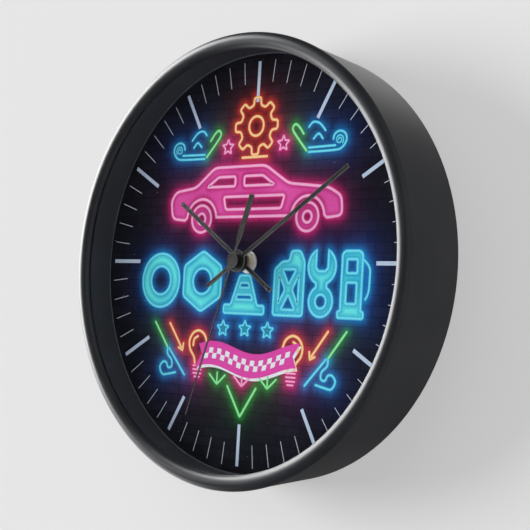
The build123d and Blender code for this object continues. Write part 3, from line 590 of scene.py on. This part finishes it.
def tools_motif():
    """A row of workshop things in broad outlined strokes: wheel, nut, cone, can, spanner, pump."""
    m = Motif("print_tools", "cyan", 1.9, fill=(srgb(10, 158, 204), srgb(108, 244, 240)))
    low, high = -29.0, 6.4
    middle = (low + high) / 2
    # wheel
    m.hoop(-71.6, middle, 15.9, 60)
    m.hoop(-71.6, middle, 8.6, 40)
    # hex nut
    m.shape([polar(-36.4, middle, 17.6, a) for a in range(30, 390, 60)], 2.2)
    m.hoop(-36.4, middle, 7.6, 36)
    # traffic cone, short enough to stay clear of the washer under the hands
    cx, foot, body, tip = -2.0, 15.5, 10.2, 3.9
    base, apex = low + 4.6, -7.6
    m.shape([(cx - foot, low), (cx + foot, low), (cx + foot, base), (cx + body, base), (cx + tip, apex),
             (cx - tip, apex), (cx - body, base), (cx - foot, base)], 1.2)
    for z0, z1 in ((-21.4, -18.2), (-14.6, -11.6)):
        half0, half1 = (body - 2.4 - (body - tip) * (z - base) / (apex - base) for z in (z0, z1))
        m.shape([(cx - half0, z0), (cx + half0, z0), (cx + half1, z1), (cx - half1, z1)], 0.8)
    # fuel can with a crossed panel
    left, right, top = 20.6, 42.0, 0.6
    m.shape([(left, low), (right, low), (right, top), (right - 3.2, high), (right - 9.6, high),
             (right - 11.0, top), (left + 5.6, top), (left, top - 4.4)], 1.8)
    mid_x, mid_z, gap = (left + right) / 2, (low + top) / 2 - 0.6, 2.4
    for sx, sz in ((1, 0), (-1, 0), (0, 1), (0, -1)):
        reach_x, reach_z = (right - left) / 2 - 3.4, (top - low) / 2 - 3.6
        nose = (mid_x + sx * gap, mid_z + sz * gap)
        ends = [(mid_x + (sx or s) * reach_x, mid_z + (sz or s) * reach_z) for s in (1, -1)]
        ends = [(x - (0 if sx else s * 2.0), z - (0 if sz else s * 2.6))
                for (x, z), s in zip(ends, (1, -1))]
        m.shape([nose, *ends], 1.5)
    # spanner
    for path in spanner_outline(54.6, low, high):
        m.line(path, True)
    # fuel pump
    left, right = 68.6, 82.2
    m.shape([(left - 1.8, low), (right + 1.8, low), (right + 1.8, low + 3.4), (right, low + 3.4),
             (right, high - 1.6), (right - 2, high), (left + 2, high), (left, high - 1.6),
             (left, low + 3.4), (left - 1.8, low + 3.4)], 1.0)
    left, right = left + 3.2, right - 3.2
    for z0, z1 in ((-5.4, 2.2), (-21.6, -10.2)):
        m.shape([(left, z0), (right, z0), (right, z1), (left, z1)], 0.8)
    return m


def hose_motif():
    """The fuel pump's hose, hanging beside it."""
    m = Motif("print_hose", "cyan", 1.5)
    return m.line(spline([(83.6, 1.4), (87.0, -2.4), (87.4, -8.0), (87.0, -15.0), (85.2, -18.8)]))


def cyan_stars():
    m = Motif("print_cyan_stars", "cyan", 1.3, fill=(srgb(20, 130, 165), srgb(40, 160, 190)))
    for x, z in ((-17.2, -38.0), (0.0, -37.6), (17.2, -38.0)):
        m.line(star(x, z, 4.9), True)
    return m


def green_sticks():
    m = Motif("print_green_sticks", "green", 1.6)
    return m.both([(-73.9, -36.4), (-62.3, -50.8)])


def cyan_sticks():
    m = Motif("print_cyan_sticks", "cyan", 1.6)
    m.both([(-60.6, -51.6), (-46.8, -66.2)])
    return m.both(spline([(-62.2, -51.6), (-61.8, -55.0), (-58.2, -58.4), (-58.0, -62.0), (-60.8, -62.8),
                          (-62.6, -60.0), (-65.6, -59.8), (-68.0, -63.0), (-65.4, -67.0), (-60.6, -66.6),
                          (-54.6, -65.4)]))


def arrow_motif():
    m = Motif("print_arrows", "orange", 1.6)
    m.both([(-61.2, -36.7), (-50.2, -50.8)])
    return m.both(rounded([(-48.9, -48.2), (-49.4, -52.2), (-52.8, -50.6)], 0.4, closed=False))


def bulb_motif():
    m = Motif("print_bulbs", "orange", 1.7)
    m.both(spline([(-34.0, -58.6), (-33.2, -55.4), (-30.2, -51.4), (-29.6, -46.8), (-31.8, -42.2),
                   (-36.4, -40.0), (-41.0, -41.6), (-43.8, -46.0), (-43.0, -51.0), (-39.6, -55.2),
                   (-38.6, -58.6)]))
    return m.both(spline([(-40.6, -48.6), (-40.0, -45.2), (-37.2, -43.4)]))


def bulb_caps():
    m = Motif("print_bulb_caps", "pink", 1.25)
    for z, half in ((-60.4, 3.2), (-62.6, 3.2), (-64.8, 3.0), (-66.8, 2.0)):
        m.both([(-36.3 - half, z), (-36.3 + half, z)])
    return m


def gem_motifs():
    made = []
    for name, x, colour in (("print_gem_left", -19.6, "green"), ("print_gem_middle", 0.0, "pink"),
                            ("print_gem_right", 19.6, "green")):
        m = Motif(name, colour, 1.4)
        m.line(rounded([(x - 6.2, -64.6), (x, -70.0), (x + 6.2, -64.6)], 0.5, closed=False))
        m.line([(x, -63.4), (x, -69.4)])
        made.append(m)
    return made


def vee_motif():
    m = Motif("print_vee", "green", 1.7)
    return m.line(rounded([(-11.0, -70.6), (0.0, -87.0), (11.0, -70.6)], 0.8, closed=False))


motifs = [cog_motif(), swirl_motif(), spiral_motif(), hook_motif(), pink_stars(), car_motif(),
          tools_motif(), hose_motif(), cyan_stars(), green_sticks(), cyan_sticks(), arrow_motif(),
          bulb_motif(), bulb_caps(), *gem_motifs(), vee_motif()]


def strip(path, closed, width, round_ends=True):
    """Cross sections along a path: centre, sideways direction and half width, with the ends rounded."""
    p = np.array(path, float)
    half = width / 2
    if closed:
        before, after = np.roll(p, 1, 0), np.roll(p, -1, 0)
    else:
        if round_ends:
            p = add_ends(p, half)
        before, after = np.vstack([p[:1], p[:-1]]), np.vstack([p[1:], p[-1:]])
    back, ahead = p - before, after - p
    for steps in (back, ahead):
        length = np.linalg.norm(steps, axis=1, keepdims=True)
        steps /= np.where(length < 1e-9, 1, length)
    along = back + ahead
    along /= np.maximum(np.linalg.norm(along, axis=1, keepdims=True), 1e-9)
    onward = np.where(np.abs(ahead).sum(1, keepdims=True) > 0, ahead, back)
    stretch = 1 / np.clip((along * onward).sum(1), CORNER_LIMIT, 1)
    side = np.column_stack([-along[:, 1], along[:, 0]])
    halves = half * stretch
    if not closed and round_ends:
        run = np.r_[0, np.cumsum(np.linalg.norm(np.diff(p, axis=0), axis=1))]
        for gap in (run, run[-1] - run):
            near = np.clip(gap / half, 0, 1)
            halves = halves * np.maximum(np.sqrt(1 - (1 - near) ** 2), TIP_WIDTH)
    return p, side, halves


def add_ends(p, half):
    """The path reaching half a width further at each end, with close points for a round tip."""
    for _ in range(2):
        p = p[::-1]
        out = (p[-1] - p[-2]) / np.linalg.norm(p[-1] - p[-2])
        tip = p[-1] + out * half
        reach = half * (1 - np.cos(np.radians([60, 36, 12, 0])))
        p = np.vstack([p, [tip - out * r for r in reach]])
    return p


def line_mesh(path, closed, width, lift, colours, round_ends=True):
    """A flat raised line as a closed strip: five points across its top, two across its foot."""
    p, side, halves = strip(path, closed, width, round_ends)
    n, k = len(p), len(COLUMNS)
    top_y, foot_y = DIAL_Y - lift, DIAL_Y + INK_FOOT
    points, ink = [], []
    for centre, across, half in zip(p, side, halves):
        for c in COLUMNS:
            x, z = (centre + across * half * c) * MM
            points.append((x, top_y, z))
            share = 1 - abs(c)
            ink.append([a + (b - a) * share**CORE_FALL for a, b in zip(colours[1], colours[0])])
        for c in (-1.0, 1.0):
            x, z = (centre + across * half * c) * MM
            points.append((x, foot_y, z))
            ink.append(colours[1])
    size = k + 2
    faces = []
    last = n if closed else n - 1
    for i in range(last):
        a, b = i * size, (i + 1) % n * size
        for c in range(size):
            d = (c + 1) % size
            faces.append((a + c, a + d, b + d, b + c))
    if not closed:
        faces.append(tuple(range(size))[::-1])
        faces.append(tuple((n - 1) * size + c for c in range(size)))
    return points, faces, ink


def inked_piece(name, parts):
    """One printed piece made of several (points, faces, ink)."""
    points, faces, ink = [], [], []
    for part_points, part_faces, part_ink in parts:
        faces += [tuple(i + len(points) for i in face) for face in part_faces]
        points += part_points
        ink += part_ink
    piece = mesh_piece(name, points, faces, "clock", "printed_face")
    set_ink(piece, np.array(ink, np.float32))


def neon_lines():
    """The lines of each motif as one raised piece."""
    layer = 0
    for motif in motifs:
        parts = []
        for path, closed in motif.lines:
            layer += 1
            lift = INK_HEIGHT + layer * LAYER_STEP
            parts.append(line_mesh(path, closed, motif.width, lift, NEON[motif.colour]))
        inked_piece(motif.name, parts)


neon_lines()


# ------------ hour and minute marks
MARK_INK, TICK_INK = srgb(196, 211, 234), srgb(226, 232, 244)
MARGIN_INK, MARGIN_W = srgb(104, 108, 116), 0.6   # the unprinted edge of the sheet
MARK_IN, MARK_OUT, MARK_W = 91.2, 114.6, 2.2
TICK_IN, TICK_OUT, TICK_W = 102.6, 115.2, 0.34


def marks():
    """The hour and minute marks, and the edge of the sheet round them."""
    hours, minutes = [], []
    for minute in range(60):
        hour = minute % 5 == 0
        span = (MARK_IN, MARK_OUT) if hour else (TICK_IN, TICK_OUT)
        path = [polar(0, 0, r, 90 - 6 * minute) for r in np.linspace(*span, 4)]
        ink = MARK_INK if hour else TICK_INK
        made = line_mesh(path, False, MARK_W if hour else TICK_W, INK_HEIGHT, (ink, ink), False)
        (hours if hour else minutes).append(made)
    inked_piece("hour_marks", hours)
    inked_piece("minute_marks", minutes)
    edge = ring(0, 0, SEEN_R - MARGIN_W / 2, 240)
    inked_piece("print_margin", [line_mesh(edge, True, MARGIN_W, INK_HEIGHT, (MARGIN_INK, MARGIN_INK))])


marks()


# ------------ chequered ribbon
RIBBON_INK, RIBBON_SHADE = srgb(228, 74, 172), srgb(240, 240, 246)
RIBBON_LEFT, RIBBON_RIGHT, RIBBON_MIDDLE, RIBBON_HALF = -37.0, 41.0, -56.0, 6.8
RIBBON_WAVE, RIBBON_WAVES, RIBBON_START = 3.4, 1.15, 0.5    # height, number and phase of its waves
RIBBON_RISE, RIBBON_LEAN = 2.0, 0.18
RIBBON_NOTCH = 0.05                 # depth of the forked ends, as a share of the length
SHADOW_ASIDE, SHADOW_BELOW = 1.3, 1.5
CHECK_COLUMNS, CHECK_SIZE = 20, 3.1
CHECK_FROM, CHECK_TO = 0.08, 0.92   # the checks' ends, as shares of the length
SHADE_LIFT, BAND_LIFT, CHECK_LIFT = (INK_HEIGHT + h * MM for h in (0.015, 0.03, 0.045))


def plate(outline, lift, ink):
    """A flat raised patch of one ink."""
    flat = [Vector((x, z, 0)) for x, z in outline]
    triangles = tessellate_polygon([flat])
    n = len(outline)
    area = sum(outline[i - 1][0] * outline[i][1] - outline[i][0] * outline[i - 1][1] for i in range(n))
    order = range(n) if area > 0 else range(n - 1, -1, -1)
    ring_points = [outline[i] for i in order]
    index = {old: new for new, old in enumerate(order)}
    points = [(x * MM, DIAL_Y - lift, z * MM) for x, z in ring_points]
    points += [(x * MM, DIAL_Y + INK_FOOT, z * MM) for x, z in ring_points]
    faces = [(i, (i + 1) % n, n + (i + 1) % n, n + i) for i in range(n)]
    for triangle in triangles:
        a, b, c = (index[i] for i in triangle)
        pa, pb, pc = (ring_points[i] for i in (a, b, c))
        turn = (pb[0] - pa[0]) * (pc[1] - pa[1]) - (pc[0] - pa[0]) * (pb[1] - pa[1])
        if turn < 0:
            b, c = c, b
        faces.append((a, c, b))
        faces.append((n + a, n + b, n + c))
    return points, faces, [ink] * (2 * n)


def on_ribbon(share, across):
    """A place on the waving ribbon: share along it from the left, and mm above its middle line."""
    x = RIBBON_LEFT + (RIBBON_RIGHT - RIBBON_LEFT) * share + RIBBON_LEAN * across
    wave = RIBBON_WAVE * math.sin(share * TURN * RIBBON_WAVES + RIBBON_START)
    return x, RIBBON_MIDDLE + wave + RIBBON_RISE * share + across


def ribbon():
    """A waving ribbon with forked ends, a double row of checks and a hard drop shadow."""
    half, notch = RIBBON_HALF, RIBBON_NOTCH
    ends = [(1.0, half), (1.0 - notch, 0.0), (1.0, -half)]
    shares = np.linspace(0, 1, 40)
    outline = [on_ribbon(u, half) for u in shares[:-1]] + [on_ribbon(*end) for end in ends]
    outline += [on_ribbon(u, -half) for u in shares[-2::-1]] + [on_ribbon(notch, 0.0)]
    band = plate(outline, BAND_LIFT, RIBBON_INK)
    shade = plate([(x + SHADOW_ASIDE, z - SHADOW_BELOW) for x, z in outline], SHADE_LIFT, RIBBON_SHADE)
    inked_piece("print_ribbon", [band])
    inked_piece("print_ribbon_shade", [shade])
    checks = []
    for column in range(CHECK_COLUMNS):
        low, high = (CHECK_FROM + (CHECK_TO - CHECK_FROM) * (column + step) / CHECK_COLUMNS
                     for step in (0, 1))
        bottom, top = (0, CHECK_SIZE) if column % 2 else (-CHECK_SIZE, 0)
        corners = ((low, bottom), (high, bottom), (high, top), (low, top))
        checks.append(plate([on_ribbon(*c) for c in corners], CHECK_LIFT, RIBBON_SHADE))
    inked_piece("print_ribbon_checks", checks)


ribbon()


# ------------ the front bezel
def bezel_rim():
    """The front bezel turned from its section in even steps, so that highlights run clean round it."""
    low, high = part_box("front_bezel")
    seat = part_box("clear_lens")[0].y
    half, crown = BEZEL_WIDTH / 2 * MM, seat - low.y
    section = [(high.x - half + half * math.cos(a), seat - crown * math.sin(a))
               for a in np.linspace(0, math.pi, CROWN_POINTS)]
    outer = high.x - TONGUE_INSET * MM
    inner = outer - TONGUE_WIDTH * MM
    section += [(inner, seat), (inner, high.y), (outer, high.y), (outer, seat)]
    count, turns = len(section), BEZEL_TURNS
    points = [(r * math.cos(a), y, r * math.sin(a))
              for a in np.linspace(0, TURN, turns, endpoint=False) for r, y in section]
    faces = []
    for i in range(turns):
        here, ahead = i * count, (i + 1) % turns * count
        for k in range(count):
            after = (k + 1) % count
            faces.append((here + k, ahead + k, ahead + after, here + after))
    piece = mesh_piece("bezel_rim", points, faces, "clock", slot_of["front_bezel"], smooth=True)
    piece.data.set_sharp_from_angle(angle=math.radians(35))
    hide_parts("front_bezel")


bezel_rim()


# ------------ the face with its glow
GRID, GRID_HOLE = 300, 12   # cells across the square grid that is bent into the disc, and its hole


def segments_distance(points, lines):
    """Distance from each point to the nearest of the polylines."""
    best = np.full(len(points), 1e9)
    for path, closed in lines:
        p = np.vstack([path, path[:1]]) if closed else np.asarray(path)
        for a, b in zip(p[:-1], p[1:]):
            step = b - a
            t = np.clip(((points - a) @ step) / max(step @ step, 1e-12), 0, 1)
            best = np.minimum(best, np.hypot(*(points - a - t[:, None] * step).T))
    return best


def inside(points, lines):
    """True where a point is inside an odd number of the closed outlines."""
    odd = np.zeros(len(points), bool)
    for path, closed in lines:
        if not closed:
            continue
        for (x0, z0), (x1, z1) in zip(path, np.roll(path, -1, 0)):
            crosses = (z0 > points[:, 1]) != (z1 > points[:, 1])
            if not crosses.any():
                continue
            at = (x1 - x0) * (points[:, 1] - z0) / (z1 - z0 if z1 != z0 else 1e-12) + x0
            odd ^= crosses & (points[:, 0] < at)
    return odd


def glow_at(points):
    """The printed glow and fills at each point, as linear colours."""
    total = np.zeros((len(points), 3))
    for motif in motifs:
        near, far = (np.array(c) for c in NEON[motif.colour][2:])
        every = np.vstack([path for path, _ in motif.lines])
        reach = 5 * FAR_REACH
        close = np.where(((points > every.min(0) - reach) & (points < every.max(0) + reach)).all(1))[0]
        d = segments_distance(points[close], motif.lines)
        edge = np.maximum(d - motif.width / 2, 0)
        glow = (near * np.exp(-((edge / NEAR_REACH) ** 1.3))[:, None]
                + far * FAR_STRENGTH * np.exp(-edge / FAR_REACH)[:, None]) * motif.glow
        if motif.fill is not None:
            p = points[close]
            filled = inside(p, motif.lines)
            deep, pale = (np.array(c) for c in motif.fill)
            x, z = p.T
            waves = np.sin(x * 0.11 + 1.3 * np.sin(z * 0.09)) * np.cos(z * 0.13 + x * 0.05)
            drift = 0.5 + 0.5 * waves
            inward = np.clip((d - motif.width / 2) / FILL_EDGE, 0, 1)
            share = inward * (1 - FILL_DRIFT) + drift * FILL_DRIFT
            paint = deep + (pale - deep) * share[:, None]
            glow = np.where(filled[:, None], paint, glow)
        total[close] = 1 - (1 - total[close]) * (1 - np.clip(glow, 0, 0.98))
    return total


def face_points():
    """Grid points of the disc with its middle hole: squares of the grid become circles."""
    index, points = {}, []
    half, hole = GRID // 2, GRID_HOLE // 2
    inner, outer = DIAL_HOLE_R / MM, DIAL_R / MM
    for i in range(-half, half + 1):
        for j in range(-half, half + 1):
            reach = max(abs(i), abs(j))
            if reach < hole:
                continue
            if abs(i) >= abs(j):
                angle = math.pi / 4 * (j / i) + (0 if i > 0 else math.pi)
            else:
                angle = math.pi / 2 - math.pi / 4 * (i / j) + (0 if j > 0 else math.pi)
            r = inner + (outer - inner) * (reach - hole) / (half - hole)
            index[i, j] = len(points)
            points.append((r * math.cos(angle), r * math.sin(angle)))
    return index, np.array(points), half, hole


def square_ring(index, reach):
    """The points of one square ring of the grid, anticlockwise."""
    s = reach
    walk = [(s, j) for j in range(-s, s)] + [(i, s) for i in range(s, -s, -1)]
    walk += [(-s, j) for j in range(s, -s, -1)] + [(i, -s) for i in range(-s, s)]
    return [index[ij] for ij in walk]


def dial_face():
    """The printed sheet as a fine grid with a rim, a hole and a back, in place of the plain disc."""
    index, flat, half, hole = face_points()
    front = [(x * MM, DIAL_Y, z * MM) for x, z in flat]
    faces = []
    for (i, j), a in index.items():
        corners = [index.get(k) for k in ((i + 1, j), (i + 1, j + 1), (i, j + 1))]
        if None in corners:
            continue
        faces.append((a, *corners))
    rims = [square_ring(index, half), square_ring(index, hole)]
    points, backs = list(front), []
    for rim in rims:
        backs.append(range(len(points), len(points) + len(rim)))
        points += [(front[i][0], dial_high.y, front[i][2]) for i in rim]
    for rim, back, outward in zip(rims, backs, (True, False)):
        n = len(rim)
        for i in range(n):
            quad = (rim[i], back[i], back[(i + 1) % n], rim[(i + 1) % n])
            faces.append(quad if outward else quad[::-1])
    outline = [[Vector((points[i][0], points[i][2], 0)) for i in back] for back in backs]
    numbered = [*backs[0], *backs[1]]
    for triangle in tessellate_polygon(outline):
        a, b, c = (numbered[i] for i in triangle)
        (ax, _, az), (bx, _, bz), (cx, _, cz) = points[a], points[b], points[c]
        turn = (bx - ax) * (cz - az) - (cx - ax) * (bz - az)
        if abs(turn) > 0:
            faces.append((a, c, b) if turn > 0 else (a, b, c))
    piece = mesh_piece("dial_face", points, faces, "clock", "printed_face")
    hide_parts("dial_print")
    ink = np.zeros((len(points), 3))
    ink[:len(flat)] = glow_at(flat)
    set_ink(piece, ink)


dial_face()


# ============ camera, stage and light
def turned_to(azimuth, elevation):
    """Unit vector from the clock towards an azimuth (0 is in front, 90 is right) and elevation."""
    a, e = math.radians(azimuth), math.radians(elevation)
    return Vector((math.sin(a) * math.cos(e), -math.cos(a) * math.cos(e), math.sin(e)))


backdrop = bpy.data.collections.new("backdrop")


def camera():
    """Looks at the clock from the side and a little below, rolled a little."""
    into = -turned_to(CAMERA_AZIMUTH, CAMERA_ELEVATION)
    a, roll = math.radians(CAMERA_AZIMUTH), math.radians(CAMERA_ROLL)
    level = Vector((math.cos(a), math.sin(a), 0))
    upright = level.cross(into)
    right = level * math.cos(roll) + upright * math.sin(roll)
    up = upright * math.cos(roll) - level * math.sin(roll)
    data = bpy.data.cameras.new("camera")
    data.lens, data.sensor_width = LENS_MM, SENSOR_MM
    data.clip_start, data.clip_end = 0.01, 50
    made = bpy.data.objects.new("camera", data)
    bpy.context.scene.collection.objects.link(made)
    made.matrix_world = Matrix((right, up, -into)).transposed().to_4x4()
    made.location = right * CAMERA_ASIDE + up * CAMERA_ABOVE - into * CAMERA_DISTANCE
    bpy.context.scene.camera = made


def stage_plane(name, corners, one_sided):
    """A pale backdrop that only the camera sees, so that it neither blocks nor throws light."""
    mesh = bpy.data.meshes.new(name)
    mesh.from_pydata(corners, [], [(0, 1, 2, 3)])
    s = Surface(name, (BACKDROP_GREY,) * 3, 0.9, Specular_IOR_Level=0.0, Emission_Color=(1, 1, 1),
                Emission_Strength=BACKDROP_GLOW)
    if one_sided:
        behind = s.add("ShaderNodeNewGeometry").outputs["Backfacing"]
        s.show(s.either(behind, s.shader.outputs[0], s.add("ShaderNodeBsdfTransparent").outputs[0]))
    mesh.materials.append(s.material)
    made = bpy.data.objects.new(name, mesh)
    bpy.context.scene.collection.objects.link(made)
    made.visible_diffuse = made.visible_glossy = made.visible_transmission = False
    made.visible_shadow = made.visible_volume_scatter = False
    backdrop.objects.link(made)


def stage():
    wall_y, floor_z = cad_box[1].y + WALL_GAP, cad_box[0].z - FLOOR_BELOW
    corners = [(STAGE_SIZE * a, STAGE_SIZE * b) for a, b in ((-1, -1), (1, -1), (1, 1), (-1, 1))]
    stage_plane("stage_wall", [(x, wall_y, z) for x, z in corners], True)
    stage_plane("stage_floor", [(x, y, floor_z) for x, y in corners], False)


# Panels of light as the glossy parts mirror them: azimuth range, elevation range, softness, strength.
PANELS = [
    ((-94, -54), (-10, 37), 3.5, 9.5),       # softbox on the left
    ((-114, -94), (0, 26), 5.0, 3.2),        # its far side, seen past the rim
    ((-60, -44), (17, 33), 3.5, 6.0),        # its near corner, seen over the crown
    ((-172, -140), (-6, 60), 12.0, 1.05),    # bright wall on the left
    ((-172, -98), (-70, -18), 12.0, 0.12),   # its foot
    ((-122, -64), (-40, -12), 7.0, 2.2),     # light on the floor
    ((100, 180), (-60, 60), 18.0, 0.21),     # wall in the clock's shadow
    ((20, 100), (-60, 60), 15.0, 0.32),      # room on the right
]
DARK_ROOM = 0.03            # what they mirror between the panels


class Sky(Nodes):
    """Builds the world: flat grey for the camera, panels for mirrors, an even fill for the rest."""

    def __init__(self):
        world = bpy.data.worlds.new("studio")
        bpy.context.scene.world = world
        world.use_nodes = True
        world.cycles.sampling_method = "NONE"
        super().__init__(world.node_tree)
        self.tree.nodes.clear()

    def band(self, value, span, soft):
        """1 within the span and 0 outside it, with soft ends."""
        low, high = span
        rise = self.mapped(value, 0, 1, low - soft, low + soft, interpolation_type="SMOOTHSTEP")
        fall = self.mapped(value, 1, 0, high - soft, high + soft, interpolation_type="SMOOTHSTEP")
        return self.math("MULTIPLY", rise, fall)

    def background(self, strength):
        return self.add("ShaderNodeBackground", {"Color": (1, 1, 1), "Strength": strength}).outputs[0]

    def build(self):
        x, y, z = self.axes(self.add("ShaderNodeTexCoord").outputs["Generated"])
        bearing = self.math("ARCTAN2", x, self.math("MULTIPLY", y, -1.0))
        azimuth = self.math("MULTIPLY", bearing, 180 / math.pi)
        elevation = self.math("MULTIPLY", self.math("ARCSINE", z), 180 / math.pi)
        total = DARK_ROOM
        for across, upright, soft, strength in PANELS:
            panel = self.math("MULTIPLY", self.band(azimuth, across, soft),
                              self.band(elevation, upright, soft))
            total = self.math("ADD", self.math("MULTIPLY", panel, strength), total)
        path = self.add("ShaderNodeLightPath").outputs
        light = self.either(path["Is Glossy Ray"], self.background(FILL_LIGHT), self.background(total))
        seen = self.either(path["Is Camera Ray"], light, self.background(SKY_GREY))
        self.add("ShaderNodeOutputWorld", {"Surface": seen})


def sun(name, direction, spread, strength, only=None):
    """A distant lamp that mirrors don't show; only names the one collection that it lights."""
    data = bpy.data.lights.new(name, "SUN")
    data.energy, data.angle = strength, math.radians(spread)
    made = bpy.data.objects.new(name, data)
    made.rotation_mode = "QUATERNION"
    made.rotation_quaternion = turned_to(*direction).to_track_quat("Z", "Y")
    made.visible_glossy = False
    bpy.context.scene.collection.objects.link(made)
    if only is not None:
        made.light_linking.receiver_collection = only


camera()
stage()
Sky().build()
sun("key", KEY_DIRECTION, KEY_SPREAD, KEY_ON_CLOCK)
sun("key_on_wall", KEY_DIRECTION, KEY_SPREAD, KEY_ON_WALL, backdrop)
sun("shade_on_wall", SHADE_DIRECTION, SHADE_SPREAD, SHADE_ON_WALL, backdrop)
bpy.context.scene.view_settings.view_transform = "Standard"
